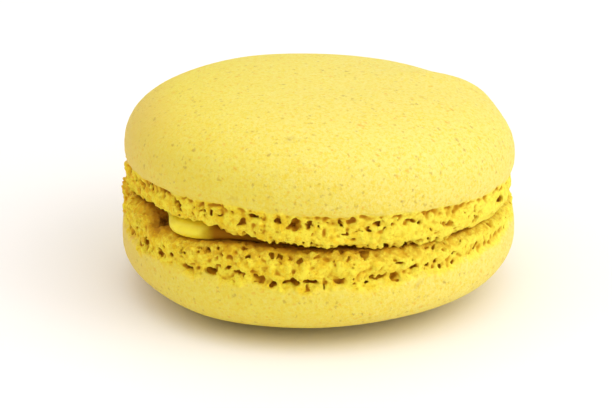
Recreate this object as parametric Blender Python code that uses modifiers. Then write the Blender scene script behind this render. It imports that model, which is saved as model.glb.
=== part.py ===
"""French macaron: two almond shells with ruffled feet and a cream filling between them.

Metres, +Z up. The macaron lies on its lower shell: the rest spot is at z = 0 and the Z axis
passes through the middle of the outline. The front, where the feet gape most, faces -Y.
"""

import math
from dataclasses import dataclass

import bpy
from mathutils import Matrix, Vector, noise

MM = 0.001

# Driving dimensions, in millimetres and degrees
SEAM_GAP = 6.62  # from the lower skin's edge up to the upper skin's edge, at the middle
TOP_TURN = (-5.45, 1.73)  # the upper shell is raised at the front and at the left
BOTTOM_TURN = (0.2, -1.28)  # the lower shell is raised a little at the right
TOP_SHIFT = 0.18  # the upper shell lies this far to the right of the lower one
REST_CUT = 0.15  # the crown that is pressed flat where the macaron rests
CLEARANCE = 0.3  # between the filling and each shell
HOLLOW_DEPTH = 1.1  # the dished underside of each shell, which the filling sits in
HOLLOW_RADIUS = 19.3
HOLLOW_CORNER = 0.6
FILLING_BULGE = 3.2  # how far the filling swells out between the feet at the front left
BULGE_AZIMUTH = -137.0
BULGE_LEFT = 8.0  # how fast the swelling ends towards the left
BULGE_RIGHT = 15.0  # and how slowly towards the front
THINNEST_LIP = 0.1
NOTCH_AZIMUTH = -136.0  # where both feet are shallower and the filling shows
NOTCH_HALF_WIDTH = 15.0
NOTCH_RADII = (16.5, 21.0)  # the notch deepens between these radii

AROUND = 72  # steps round each turned shape
DOME_ROWS = 13
CROWN_SPREAD = 1.25  # power that keeps the first dome rows from bunching at the crown
FLOOR_ROWS = 3
LIP_ROW = (0.3, 0.45)  # a row under the widest ring: shares of the lip inset and of the height
HOLLOW_WALL = ((0.0, 0.15), (0.4, 0.7))  # (share of the corner, share of the hollow's depth)
HOLLOW_FLOOR_INSET = 1.6  # corner lengths from the hollow's wall to its flat floor
FILLING_WALL = ((0.0, 0.8), (0.01, 0.5), (0.02, 0.25), (0.02, 0.0))  # (outset, row height)
FLAT_ROWS = 0.6  # filling rows beyond this height belong to its upper and lower faces
BULGE_ROUNDING = 3.0  # how fast the swelling ends above and below its middle
SHARP_EDGE = 50.0  # degrees between faces that keep a crease


@dataclass
class Shell:
    """One shell, described with its skin's edge at height 0 and its crown upwards."""

    radius: float  # of the widest ring of the skin
    lip_inset: float  # how far the skin's edge lies inside the widest ring
    crown: float  # height of the dome
    widest: float  # height of the widest ring
    round_power: float  # superellipse power across the dome
    rise_power: float  # superellipse power up the dome
    foot: float  # mean depth of the foot
    foot_per_x: float  # change of that depth for each millimetre to the right
    foot_per_y: float  # and for each millimetre to the back
    foot_wave: float  # extra depth at both sides, and as much less at front and back
    notch: float  # how much shallower the foot is where the filling shows
    foot_outline: tuple  # (share of the depth, inset from the widest ring), going down
    seed: float


TOP = Shell(
    radius=22.86,
    lip_inset=0.42,
    crown=9.80,
    widest=1.53,
    round_power=2.95,
    rise_power=2.53,
    foot=2.94,
    foot_per_x=-0.008,
    foot_per_y=-0.052,
    foot_wave=0.11,
    notch=0.63,
    foot_outline=((0.07, 0.75), (0.30, 0.55), (0.58, 0.42), (0.80, 0.62), (0.94, 1.15), (1.0, 1.9)),
    seed=3.1,
)
BOTTOM = Shell(
    radius=23.06,
    lip_inset=0.14,
    crown=8.27,
    widest=1.78,
    round_power=2.42,
    rise_power=2.62,
    foot=3.22,
    foot_per_x=-0.048,
    foot_per_y=-0.049,
    foot_wave=0.0,
    notch=1.0,
    foot_outline=((0.07, 0.38), (0.28, 0.55), (0.60, 0.30), (0.80, 0.62), (0.94, 1.2), (1.0, 1.95)),
    seed=8.4,
)

# Places where a dome stands proud or is sunk: azimuth, height, reach and push
TOP_DENTS = (
    (26.0, 7.3, 2.9, 0.42),
    (8.0, 5.4, 4.6, -0.30),
    (41.0, 7.9, 3.5, -0.14),
    (122.0, 8.2, 5.0, 0.12),
)
BOTTOM_DENTS = (
    (-128.0, 5.3, 6.0, 0.26),
    (-34.0, 4.8, 5.0, 0.12),
    (-70.0, 5.6, 6.0, -0.12),
)
UNEVEN_PUSH = 0.10  # slow rise and fall of the skin
UNEVEN_SCALE = 0.085  # cycles per millimetre of that
RUFFLE_PUSH = 0.45  # in-and-out waver of the foot
RUFFLE_SCALE = 0.26
EDGE_WAVER = 0.10  # up-and-down waver of the foot's edge

# Colours: linear red, green, blue, and roughness
SKIN = ((0.88, 0.76, 0.20), 0.62)
CREAM = ((0.66, 0.50, 0.03), 0.42)


def fade(distance, reach):
    """1 at distance 0, falling smoothly to about 0 at three times the reach."""
    return math.exp(-((distance / reach) ** 2))


def angle_apart(a, b):
    """The angle between two azimuths, in degrees, from 0 to 180."""
    return abs((a - b + 180.0) % 360.0 - 180.0)


def azimuth_of(x, y):
    return math.degrees(math.atan2(y, x))


def foot_depth(shell, x, y):
    """Depth of a shell's foot under its skin's edge at this place."""
    reach = math.hypot(x, y)
    wave = math.cos(2.0 * math.atan2(y, x)) * shell.foot_wave * (reach / shell.radius) ** 2
    inner, outer = NOTCH_RADII
    ramp = min(max((reach - inner) / (outer - inner), 0.0), 1.0)
    notch = shell.notch * ramp * fade(angle_apart(azimuth_of(x, y), NOTCH_AZIMUTH), NOTCH_HALF_WIDTH)
    return shell.foot + shell.foot_per_x * x + shell.foot_per_y * y + wave - notch


def dome_outline(shell):
    """(radius, height) points from the crown down to the skin's edge."""
    rise = shell.crown - shell.widest
    points = []
    for row in range(DOME_ROWS + 1):
        turn = math.pi / 2.0 * (1.0 - row / DOME_ROWS)
        # The first power bunches points at the crown, so the steps there are widened.
        from_crown = (1.0 - turn / (math.pi / 2.0)) ** CROWN_SPREAD
        turn = math.pi / 2.0 * (1.0 - from_crown)
        radius = shell.radius * max(math.cos(turn), 0.0) ** (2.0 / shell.round_power)
        height = shell.widest + rise * max(math.sin(turn), 0.0) ** (2.0 / shell.rise_power)
        points.append((0.0 if row == 0 else radius, height))
    inset, height = LIP_ROW
    points.append((shell.radius - shell.lip_inset * inset, shell.widest * height))
    points.append((shell.radius - shell.lip_inset, 0.0))
    return points


def foot_points(shell):
    """(radius, height) points of the foot, on a foot 1 mm deep, then of the hollow under it.

    Heights below -1 are in the hollow: -1 is its mouth and -2 its floor.
    """
    points = [(shell.radius - inset, -share) for share, inset in shell.foot_outline]
    points.append((HOLLOW_RADIUS + HOLLOW_CORNER, -1.0))
    for inset, share in HOLLOW_WALL:
        points.append((HOLLOW_RADIUS - HOLLOW_CORNER * inset, -1.0 - share))
    floor_radius = HOLLOW_RADIUS - HOLLOW_CORNER * HOLLOW_FLOOR_INSET
    for row in range(FLOOR_ROWS + 1):
        points.append((floor_radius * (1.0 - row / FLOOR_ROWS), -2.0))
    return points


def material(name, look):
    colour, roughness = look
    made = bpy.data.materials.new(name)
    made.use_nodes = True
    shader = made.node_tree.nodes["Principled BSDF"]
    shader.inputs["Base Color"].default_value = (*colour, 1.0)
    shader.inputs["Roughness"].default_value = roughness
    shader.inputs["Metallic"].default_value = 0.0
    return made


def turned(name, outline):
    """A closed mesh turned about Z from (radius, height) points that run top to bottom."""
    profile = bpy.data.meshes.new(name + "_outline")
    corners = [(radius, 0.0, height) for radius, height in outline]
    profile.from_pydata(corners, [(i, i + 1) for i in range(len(corners) - 1)], [])
    guide = bpy.data.objects.new(name + "_guide", profile)
    bpy.context.scene.collection.objects.link(guide)
    screw = guide.modifiers.new("Turn", "SCREW")
    screw.steps = AROUND
    screw.render_steps = AROUND
    screw.use_merge_vertices = True
    screw.merge_threshold = 0.0001
    graph = bpy.context.evaluated_depsgraph_get()
    mesh = bpy.data.meshes.new_from_object(guide.evaluated_get(graph))
    bpy.data.objects.remove(guide)
    bpy.data.meshes.remove(profile)
    mesh.name = name
    return mesh


def dented(point, dents, seed):
    """A point of a dome pushed along its rough normal by the dents and the slow unevenness."""
    x, y, z = point
    azimuth = azimuth_of(x, y)
    reach = math.hypot(x, y)
    push = UNEVEN_PUSH * noise.noise(Vector((x, y, z + seed)) * UNEVEN_SCALE)
    for at, height, width, amount in dents:
        along = math.radians(angle_apart(azimuth, at)) * reach
        push += amount * fade(math.hypot(along, z - height), width)
    normal = Vector((x / TOP.radius, y / TOP.radius, max(z, 0.0) / TOP.crown))
    if normal.length == 0.0:
        return point
    return point + normal.normalized() * push


def ruffled(point, share, shell):
    """A point of the foot moved in or out, and its edge up or down."""
    x, y, z = point
    waver = noise.noise(Vector((x, y, z * 0.5 + shell.seed)) * RUFFLE_SCALE)
    edge = noise.noise(Vector((x, y, shell.seed * 2.0)) * RUFFLE_SCALE)
    outward = Vector((x, y, 0.0)).normalized() * waver * RUFFLE_PUSH
    upward = Vector((0.0, 0.0, edge * EDGE_WAVER * share))
    return point + outward * math.sin(math.pi * share) + upward


def shell_point(shell, dents, corner):
    """Where a corner of a shell's turned mesh belongs, with the shell's crown upwards."""
    x, y, z = corner
    if z >= 0.0:
        return dented(Vector(corner), dents, shell.seed)
    depth = foot_depth(shell, x, y)
    if z >= -1.0:
        share = -z
        return ruffled(Vector((x, y, -share * depth)), share, shell)
    return Vector((x, y, -depth + (-z - 1.0) * HOLLOW_DEPTH))


def turn_matrix(turn):
    about_x, about_y = (math.radians(angle) for angle in turn)
    return Matrix.Rotation(about_y, 4, "Y") @ Matrix.Rotation(about_x, 4, "X")


def bottom_place():
    """Carries a lower-shell point, with its skin's edge at height 0, to where it lies."""
    return Matrix.Translation((0.0, 0.0, BOTTOM.crown - REST_CUT)) @ turn_matrix(BOTTOM_TURN)


def top_place():
    """Carries an upper-shell point, with its skin's edge at height 0, to where it lies."""
    height = BOTTOM.crown - REST_CUT + SEAM_GAP
    return Matrix.Translation((TOP_SHIFT, 0.0, height)) @ turn_matrix(TOP_TURN)


def make_top_shell():
    mesh = turned("top_shell", dome_outline(TOP) + foot_points(TOP))
    place = top_place()
    for vertex in mesh.vertices:
        vertex.co = place @ shell_point(TOP, TOP_DENTS, vertex.co)
    return mesh


def make_bottom_shell():
    upright = dome_outline(BOTTOM) + foot_points(BOTTOM)
    outline = [(radius, -height) for radius, height in reversed(upright)]
    mesh = turned("bottom_shell", outline)
    place = bottom_place()
    for vertex in mesh.vertices:
        x, y, z = vertex.co
        moved = shell_point(BOTTOM, BOTTOM_DENTS, Vector((x, y, -z)))
        moved.z = -moved.z
        vertex.co = place @ moved
        vertex.co.z = max(vertex.co.z, 0.0)
    return mesh


def filling_outline():
    """(radius, row height) points of the filling: 1 is its upper face and -1 its lower one.

    Rows at 0.5 and -0.5 bound the lip that swells out between the feet.
    """
    wall = HOLLOW_RADIUS - HOLLOW_CORNER - CLEARANCE
    corner = wall - HOLLOW_CORNER
    upper = [(corner * row / FLOOR_ROWS, 1.0) for row in range(FLOOR_ROWS + 1)]
    upper += [(wall + outset, height) for outset, height in FILLING_WALL]
    return upper + [(radius, -height) for radius, height in reversed(upper[:-1])]


def filling_point(corner):
    x, y, row = corner
    azimuth = azimuth_of(x, y)
    reach = math.hypot(x, y)
    top_foot = foot_depth(TOP, x, y)
    bottom_foot = foot_depth(BOTTOM, x, y)
    top = top_place()
    bottom = bottom_place()
    upper = top @ Vector((x, y, -top_foot + HOLLOW_DEPTH - CLEARANCE))
    lower = bottom @ Vector((x, y, bottom_foot - HOLLOW_DEPTH + CLEARANCE))
    if abs(row) > FLAT_ROWS:
        return lower.lerp(upper, 0.5 + 0.5 * row)
    ceiling = top @ Vector((x, y, -top_foot - CLEARANCE))
    floor = bottom @ Vector((x, y, bottom_foot + CLEARANCE))
    middle = (ceiling + floor) / 2.0
    half = max((ceiling.z - floor.z) / 2.0, THINNEST_LIP)
    half_width = BULGE_LEFT if azimuth < BULGE_AZIMUTH or azimuth > 0.0 else BULGE_RIGHT
    swell = fade(angle_apart(azimuth, BULGE_AZIMUTH), half_width)
    bulge = FILLING_BULGE * swell * (1.0 - BULGE_ROUNDING * row * row)
    outward = Vector((x, y, 0.0)) / reach
    return Vector((x, y, middle.z + 2.0 * row * half)) + outward * bulge


def make_filling():
    mesh = turned("filling", filling_outline())
    for vertex in mesh.vertices:
        vertex.co = filling_point(vertex.co)
    return mesh


def centred(meshes):
    """Moves the meshes sideways so that the middle of their box is on the Z axis."""
    corners = [vertex.co for mesh in meshes for vertex in mesh.vertices]
    middle = [(min(c[i] for c in corners) + max(c[i] for c in corners)) / 2.0 for i in (0, 1)]
    shift = Matrix.Translation((-middle[0], -middle[1], 0.0))
    for mesh in meshes:
        mesh.transform(shift)


def main():
    for thing in list(bpy.data.objects):
        bpy.data.objects.remove(thing, do_unlink=True)
    macaron = bpy.data.collections.new("french_macaron")
    bpy.context.scene.collection.children.link(macaron)

    meshes = [make_top_shell(), make_filling(), make_bottom_shell()]
    centred(meshes)
    looks = [material("top_shell", SKIN), material("filling", CREAM), material("bottom_shell", SKIN)]
    for mesh, look in zip(meshes, looks):
        mesh.transform(Matrix.Scale(MM, 4))
        mesh.shade_smooth()
        mesh.set_sharp_from_angle(angle=math.radians(SHARP_EDGE))
        mesh.materials.append(look)
        macaron.objects.link(bpy.data.objects.new(mesh.name, mesh))


main()
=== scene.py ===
"""French macaron: the looks of the two almond shells and the cream between them.

Each shell is a solid worked out on a fine grid of distances, in its own millimetres with the
skin's edge at height 0 and the crown upwards: a smooth dome, a ruffled foot of torn crumb, and
pores stamped out of it. The grid is then meshed and laid where the CAD node lies.
"""

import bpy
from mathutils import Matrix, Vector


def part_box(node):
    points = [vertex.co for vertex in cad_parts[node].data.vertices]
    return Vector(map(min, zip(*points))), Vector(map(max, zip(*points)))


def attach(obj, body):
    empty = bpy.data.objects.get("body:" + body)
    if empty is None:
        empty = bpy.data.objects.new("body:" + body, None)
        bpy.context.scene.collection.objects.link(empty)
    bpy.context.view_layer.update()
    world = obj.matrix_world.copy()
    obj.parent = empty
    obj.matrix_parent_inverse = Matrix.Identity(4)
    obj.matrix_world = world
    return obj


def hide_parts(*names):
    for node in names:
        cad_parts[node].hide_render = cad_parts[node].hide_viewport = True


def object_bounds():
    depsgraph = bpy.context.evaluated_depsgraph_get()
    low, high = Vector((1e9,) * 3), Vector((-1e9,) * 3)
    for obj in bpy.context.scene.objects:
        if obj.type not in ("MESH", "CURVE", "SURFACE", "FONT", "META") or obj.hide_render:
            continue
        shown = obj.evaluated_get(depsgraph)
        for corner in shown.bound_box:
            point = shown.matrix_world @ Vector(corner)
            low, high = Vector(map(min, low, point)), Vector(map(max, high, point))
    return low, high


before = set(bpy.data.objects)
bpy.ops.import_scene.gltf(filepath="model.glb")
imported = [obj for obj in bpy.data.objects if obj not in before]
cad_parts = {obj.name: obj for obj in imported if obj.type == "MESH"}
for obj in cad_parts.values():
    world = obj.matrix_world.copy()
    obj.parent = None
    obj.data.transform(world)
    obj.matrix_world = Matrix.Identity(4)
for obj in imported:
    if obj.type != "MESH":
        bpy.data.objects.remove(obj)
cad_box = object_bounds()

import copy
import math
from dataclasses import dataclass

import bpy
import numpy as np
import openvdb
from mathutils import Matrix, Vector

MM = 0.001

# From here on, sizes are in millimetres and angles in degrees. An azimuth is measured round the
# macaron's upright axis from +X, so the front is at -90 and the left side at 180.

# The grids of distances
VOXEL = 0.135  # grid step
MARGIN = 0.9  # room round a shell on its grid
FOOT_ROOM = 0.4  # and under its foot, twice
BAND = 0.9  # how far from the surface the distances are kept
TABLE_STEP = 0.06  # step of the half section's own distance table
ADAPTIVITY = 0.03  # how flat faces must be to be merged into larger ones

# Driving dimensions, as the CAD part has them
SEAM_GAP = 6.62  # between the two skins' edges
TOP_TURN = (-5.45, 1.73)  # how the upper shell leans, about X and about Y
BOTTOM_TURN = (0.2, -1.28)
TOP_SHIFT = 0.18
REST_CUT = 0.15  # how much of the lower crown is flat on the table
HOLLOW_DEPTH = 1.1
HOLLOW_RADIUS = 19.3
HOLLOW_CORNER = 0.6
NOTCH_AZIMUTH = -136.0  # where the feet gape over the lump of cream
NOTCH_HALF_WIDTH = 15.0
NOTCH_RADII = (16.5, 21.0)  # between which the gaping sets in

# The cream's swelling between the feet
BULGE_AZIMUTH = -137.0
BULGE_LEFT = 8.0
BULGE_RIGHT = 15.0
CREAM_REACH = 0.9  # how far the cream comes out of the hollows all round
LUMP_PUSH = 2.5  # how much further the cream's lump swells out
LUMP_LEFT = (-156.0, -149.0)  # azimuths between which the lump's own colour sets in, out of the cream's painted shade
LUMP_RIGHT = (-120.0, -133.0)  # and between which it fades

# Sides of the macaron that look different
SHADED_SIDE_AZIMUTH = -172.0  # the side with painted shade in tan on its rim, away from the key light
SHADED_SIDE_REACH = 26.0
SHADED_SIDE_INSETS = (7.0, 1.5)  # the painted shade sets in between these insets from the rim
CALM_AZIMUTH = -25.0  # the side where the crumb is smoother and its holes shallower
CALM_REACH = 32.0
CALM_SHARE = 0.5

# Large holes: azimuth, share of the foot's depth, half width, half height, depth, and how far
# the long side is turned from level. Those at a share of 0.8 or more notch the foot's edge.
TOP_HOLES = (
    (-176, 0.35, 0.3, 0.55, 0.5, 25),
    (-158, 0.3, 0.5, 0.3, 0.5, -25),
    (-137, 0.34, 0.95, 0.5, 1.1, -25),
    (-134.5, 0.52, 0.5, 0.35, 0.9, 0),
    (-128.5, 0.36, 0.24, 0.34, 0.6, 35),
    (-126, 0.29, 0.3, 0.2, 0.6, 0),
    (-124, 0.36, 0.22, 0.3, 0.6, -35),
    (-120.5, 0.34, 0.45, 0.18, 0.6, 0),
    (-113, 0.52, 0.4, 0.45, 0.6, 0),
    (-109.5, 0.14, 0.75, 0.27, 1.1, 0),
    (-103, 0.24, 0.4, 0.3, 0.5, 0),
    (-97.8, 0.27, 0.6, 0.62, 1.2, -15),
    (-93, 0.33, 0.75, 0.13, 0.8, 12),
    (-90.6, 0.4, 0.22, 0.2, 0.9, 0),
    (-84, 0.32, 0.22, 0.17, 0.6, 0),
    (-82.5, 0.52, 0.42, 0.15, 0.7, 0),
    (-78.5, 0.4, 0.75, 0.1, 0.5, 8),
    (-75.5, 0.42, 0.28, 0.22, 0.8, -20),
    (-73, 0.22, 0.45, 0.26, 0.6, 10),
    (-68.5, 0.22, 0.55, 0.3, 0.5, 0),
    (-63.5, 0.26, 0.65, 0.26, 0.7, 8),
    (-59.5, 0.32, 0.38, 0.22, 1.2, 0),
    (-56, 0.55, 0.22, 0.22, 0.5, 0),
    (-49, 0.52, 0.55, 0.48, 0.6, 0),
    (-43, 0.3, 0.2, 0.18, 0.5, 0),
    (-37, 0.55, 0.5, 0.6, 0.5, 0),
    (-24, 0.38, 0.5, 0.5, 0.8, 20),
    (-104.2, 0.91, 0.34, 0.42, 0.9, 0),
    (-99.9, 0.91, 0.28, 0.4, 0.9, 20),
    (-96.7, 0.91, 0.2, 0.36, 0.8, 0),
    (-94.4, 0.91, 0.18, 0.32, 0.8, -15),
    (-92.6, 0.91, 0.18, 0.42, 0.8, 0),
    (-89.5, 0.91, 0.24, 0.34, 0.8, 10),
    (-86.5, 0.91, 0.16, 0.46, 0.8, 0),
    (-70, 0.91, 0.3, 0.26, 0.8, 0),
    (-62, 0.91, 0.3, 0.24, 0.8, 0),
    (-57, 0.91, 0.3, 0.22, 0.9, 0),
    (-53, 0.91, 0.25, 0.28, 0.9, 0),
    (-49.5, 0.91, 0.35, 0.2, 0.9, 10),
    (-46, 0.91, 0.22, 0.26, 0.9, 0),
    (-42.5, 0.91, 0.3, 0.22, 0.9, -10),
    (-38, 0.91, 0.3, 0.24, 0.9, 0),
    (-32, 0.91, 0.3, 0.26, 0.9, 0),
    (-26, 0.91, 0.3, 0.3, 0.9, 0),
)
BOTTOM_HOLES = (
    (-166, 0.55, 0.3, 0.8, 0.7, 10),
    (-160, 0.3, 0.35, 0.35, 0.6, 0),
    (-152.5, 0.33, 0.5, 0.85, 1.3, 12),
    (-149, 0.14, 0.4, 0.3, 0.8, 0),
    (-154, 0.66, 0.28, 0.8, 0.8, -12),
    (-148, 0.97, 0.65, 0.62, 2.6, 20),
    (-142.5, 0.33, 1., 0.24, 0.9, 38),
    (-137.5, 0.44, 0.45, 0.38, 0.7, 0),
    (-131.5, 0.22, 0.95, 0.24, 1, 18),
    (-123, 0.23, 1., 0.34, 1.2, 16),
    (-124, 0.8, 0.38, 0.3, 1, 0),
    (-119.5, 0.68, 0.25, 0.22, 0.6, 0),
    (-117, 0.44, 0.42, 0.42, 0.8, 0),
    (-112.5, 0.92, 0.28, 0.22, 0.9, 0),
    (-112.5, 0.34, 0.6, 0.4, 0.9, 15),
    (-107.5, 0.27, 0.8, 0.34, 1, 8),
    (-106, 0.74, 0.35, 0.2, 0.5, 0),
    (-102.5, 0.16, 0.5, 0.36, 0.9, -15),
    (-97.5, 0.24, 0.9, 0.52, 1.3, 0),
    (-91.8, 0.2, 0.95, 0.28, 1.1, 6),
    (-88.3, 0.1, 0.14, 0.45, 0.7, 0),
    (-84, 0.23, 0.8, 0.34, 0.9, 14),
    (-80, 0.3, 0.22, 0.22, 0.6, 0),
    (-76, 0.12, 0.26, 0.3, 0.9, 0),
    (-74, 0.26, 0.5, 0.24, 0.9, -45),
    (-71.5, 0.24, 0.5, 0.26, 0.9, 35),
    (-67.8, 0.2, 0.62, 0.5, 1.1, 0),
    (-66, 0.66, 0.6, 0.22, 0.8, 0),
    (-120.5, 0.88, 0.24, 0.3, 0.9, 0),
    (-101, 0.86, 0.45, 0.22, 0.7, 0),
    (-95.5, 0.8, 0.4, 0.26, 0.6, 15),
    (-90, 0.84, 0.5, 0.2, 0.6, 0),
    (-82, 0.86, 0.4, 0.24, 0.7, -10),
    (-76.5, 0.88, 0.55, 0.28, 0.8, 0),
    (-61.5, 0.34, 0.42, 0.32, 0.9, 0),
    (-57, 0.32, 0.3, 0.24, 0.8, -30),
    (-54, 0.36, 0.24, 0.28, 0.8, 0),
    (-53, 0.12, 0.4, 0.26, 0.5, 0),
    (-47.5, 0.1, 0.26, 0.26, 0.7, 0),
    (-46, 0.34, 0.26, 0.3, 0.8, -20),
    (-36.5, 0.34, 0.36, 0.34, 0.8, 0),
    (-32, 0.3, 0.2, 0.28, 0.6, 0),
    (-27, 0.8, 0.55, 0.35, 0.6, 0),
    (-18, 0.3, 0.16, 0.4, 0.5, 0),
)

BACK = (-12.0, 187.0)  # azimuths, from the right round behind to the left
AROUND = (-180.0, 180.0)
# Random pores: count, azimuths, shares of the foot's depth, half widths, half heights, and depth
# as a share of the mean half size
TOP_PORES = (
    (30, BACK, (0.08, 0.5), (0.3, 0.85), (0.15, 0.5), 1.6),
    (90, AROUND, (0.86, 1.02), (0.2, 0.5), (0.22, 0.55), 1.3),
    (90, AROUND, (0.05, 0.95), (0.18, 0.45), (0.14, 0.34), 0.8),
    (170, AROUND, (0.05, 1.00), (0.1, 0.2), (0.1, 0.18), 1.2),
)
BOTTOM_PORES = (
    (34, BACK, (0.1, 0.4), (0.35, 0.95), (0.15, 0.5), 1.6),
    (90, AROUND, (0.62, 0.92), (0.22, 0.5), (0.18, 0.5), 0.7),
    (110, AROUND, (0.00, 0.95), (0.18, 0.45), (0.14, 0.34), 0.8),
    (220, AROUND, (0.00, 1.00), (0.1, 0.2), (0.1, 0.18), 1.2),
)
MOUTH_PORES = 160
MOUTH_PORE_INSETS = (1.6, 3.6)
MOUTH_PORE_SIZES = (0.14, 0.36)
MOUTH_PORE_SHAPE = (1.0, 1.2, 1.1)  # half width, depth and half height for its size


@dataclass
class Shell:
    """One shell, described with its skin's edge at height 0 and its crown upwards."""

    radius: float  # at its widest
    lip_inset: float  # how far the skin's edge stands in from the widest place
    crown: float  # height of the dome
    widest: float  # height at which the dome is widest
    round_power: float  # fullness of the dome's shoulder outwards
    rise_power: float  # and upwards
    foot: float  # mean depth of the foot
    foot_per_x: float  # how the depth changes towards +X
    foot_per_y: float  # and towards +Y
    foot_wave: float  # half of how much deeper the foot is at the sides than in front and behind
    notch: float  # how much shallower it is where the feet gape
    foot_outline: tuple  # (share of the depth, inset) points of the foot's outer face
    dents: tuple  # (azimuth, height, width, push) where the dome stands out or is sunk
    edge_waver: float  # how ragged the skin's edge is
    edge_blend: float  # half the height over which skin turns into crumb
    mouth_rough: float  # how rough the foot's flat end is, next to its outer face
    mouth_shade: tuple  # insets between which painted shade darkens the crumb towards the flat end
    mouth_band: float  # how much painted shade the foot's outer face has near its flat end
    smear: tuple  # a touch of cream on the foot: azimuth, reach, lowest and highest place
    pit: tuple  # painted shade round the mouth of a deep opening in its flat end: azimuth, inset, reach
    trims: tuple  # (azimuth, reach, extra) where the foot is a little deeper or shallower
    holes: tuple  # see TOP_HOLES
    pores: tuple  # see TOP_PORES
    seed: int


TOP = Shell(
    radius=22.86,
    lip_inset=0.42,
    crown=9.8,
    widest=1.53,
    round_power=2.95,
    rise_power=2.53,
    foot=2.94,
    foot_per_x=-0.008,
    foot_per_y=-0.052,
    foot_wave=0.11,
    notch=0.63,
    foot_outline=((0.07, 0.64), (0.3, 0.52), (0.58, 0.42), (0.8, 0.62), (0.94, 1.15), (1.0, 1.9)),
    dents=(
        (26.0, 7.3, 2.9, 0.42),
        (8.0, 5.4, 4.6, -0.3),
        (41.0, 7.9, 3.5, -0.14),
        (122.0, 8.2, 5.0, 0.12),
    ),
    edge_waver=0.12,
    edge_blend=0.2,
    mouth_rough=0.9,
    mouth_shade=(1.1, 3.0),
    mouth_band=0.0,
    smear=(-171.5, 3.5, 12.1, 13.3),
    pit=(),
    trims=(
        (-115.0, 24.0, -0.22),
        (-93.0, 9.0, -0.16),
        (-76.0, 9.0, 0.2),
        (-44.0, 28.0, 0.5),
        (-150.0, 12.0, -0.6),
        (-126.0, 10.0, -0.42),
    ),
    holes=TOP_HOLES,
    pores=TOP_PORES,
    seed=31,
)
BOTTOM = Shell(
    radius=23.06,
    lip_inset=0.14,
    crown=8.27,
    widest=1.78,
    round_power=2.42,
    rise_power=2.62,
    foot=3.22,
    foot_per_x=-0.048,
    foot_per_y=-0.049,
    foot_wave=0.0,
    notch=1.0,
    foot_outline=((0.07, 0.38), (0.28, 0.55), (0.6, 0.3), (0.8, 0.62), (0.94, 1.2), (1.0, 1.95)),
    dents=((-128.0, 5.3, 6.0, 0.26), (-34.0, 4.8, 5.0, 0.12), (-70.0, 5.6, 6.0, -0.12)),
    edge_waver=0.26,
    edge_blend=0.5,
    mouth_rough=0.35,
    mouth_shade=(0.35, 2.7),
    mouth_band=0.3,
    smear=(),
    pit=(-146.5, 1.7, 1.4),
    trims=((-92.0, 24.0, -0.03), (-130.0, 10.0, -0.18), (-156.0, 7.0, 0.33)),
    holes=BOTTOM_HOLES,
    pores=BOTTOM_PORES,
    seed=84,
)


# ---- grids of numbers


def smoothstep(low, high, value):
    share = np.clip((value - low) / (high - low), 0.0, 1.0)
    return share * share * (3.0 - 2.0 * share)


def fade(distance, reach):
    return np.exp(-((distance / reach) ** 2))


def angle_apart(a, b):
    return np.abs((a - b + 180.0) % 360.0 - 180.0)


def box_blur(values, reach):
    """The mean of the values over a cube that reaches this many grid points each way."""
    width = 2 * reach + 1
    for axis in range(3):
        edges = [(0, 0)] * 3
        edges[axis] = (reach + 1, reach)
        total = np.cumsum(np.pad(values, edges, mode="edge"), axis=axis, dtype=np.float32)
        total = np.moveaxis(total, axis, 0)
        values = np.moveaxis((total[width:] - total[:-width]) / width, 0, axis)
    return values


class Grid:
    """A box of points, VOXEL apart, in a shell's own millimetres."""

    def __init__(self, low, high):
        self.low = np.array(low, np.float64)
        self.count = [int(math.ceil((h - l) / VOXEL)) + 1 for l, h in zip(low, high)]
        self.axes = [l + VOXEL * np.arange(n) for l, n in zip(low, self.count)]

    def open_axes(self, part=(slice(None),) * 3):
        x, y, z = (axis[cut].astype(np.float32) for axis, cut in zip(self.axes, part))
        return x[:, None, None], y[None, :, None], z[None, None, :]

    def block(self, centre, reach):
        """The slices that hold everything within reach of a centre."""
        cuts = []
        for low, n, middle in zip(self.low, self.count, centre):
            first = max(int((middle - reach - low) / VOXEL), 0)
            last = min(int((middle + reach - low) / VOXEL) + 2, n)
            cuts.append(slice(first, max(last, first)))
        return tuple(cuts)

    def below(self, height):
        """The lower part of the grid, up to a height."""
        levels = int((height - self.low[2]) / VOXEL)
        part = copy.copy(self)
        part.count = [*self.count[:2], levels]
        part.axes = [*self.axes[:2], self.axes[2][:levels]]
        return part

    def sample(self, values, points):
        """The values at points, blended between the eight grid points round each."""
        place = (points - self.low) / VOXEL
        place = np.clip(place, 0.0, np.array(values.shape) - 1.001)
        whole = place.astype(np.int64)
        share = place - whole
        total = np.zeros(len(points))
        for corner in np.ndindex(2, 2, 2):
            weight = np.prod(np.where(corner, share, 1.0 - share), axis=1)
            i, j, k = (whole + corner).T
            total += weight * values[i, j, k]
        return total


def spline_steps(axis, cell):
    """Which four lattice numbers reach each point of an axis, and their cubic B-spline weights."""
    place = axis / cell
    whole = np.floor(place).astype(int)
    share = place - whole
    first = whole - whole.min()
    weights = (
        (1 - share) ** 3,
        3 * share**3 - 6 * share**2 + 4,
        -3 * share**3 + 3 * share**2 + 3 * share + 1,
        share**3,
    )
    return [(first + offset, (weight / 6.0).astype(np.float32)) for offset, weight in enumerate(weights)]


NOISE_GAIN = 3.0  # makes up for what the splines smooth away


def noise(rng, axes, cell):
    """Smooth random numbers of mean 0 and spread about 1 on the axes, with lumps of about a cell."""
    cells = cell if isinstance(cell, tuple) else (cell,) * 3
    steps = [spline_steps(axis, size) for axis, size in zip(axes, cells)]
    counts = [step[-1][0].max() + 1 for step in steps]
    field = rng.standard_normal(counts).astype(np.float32)
    for axis in (2, 1, 0):
        shape = [1, 1, 1]
        shape[axis] = -1
        field = sum(field.take(index, axis) * weight.reshape(shape) for index, weight in steps[axis])
    return field * np.float32(NOISE_GAIN)


# ---- the outline of a shell


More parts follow.
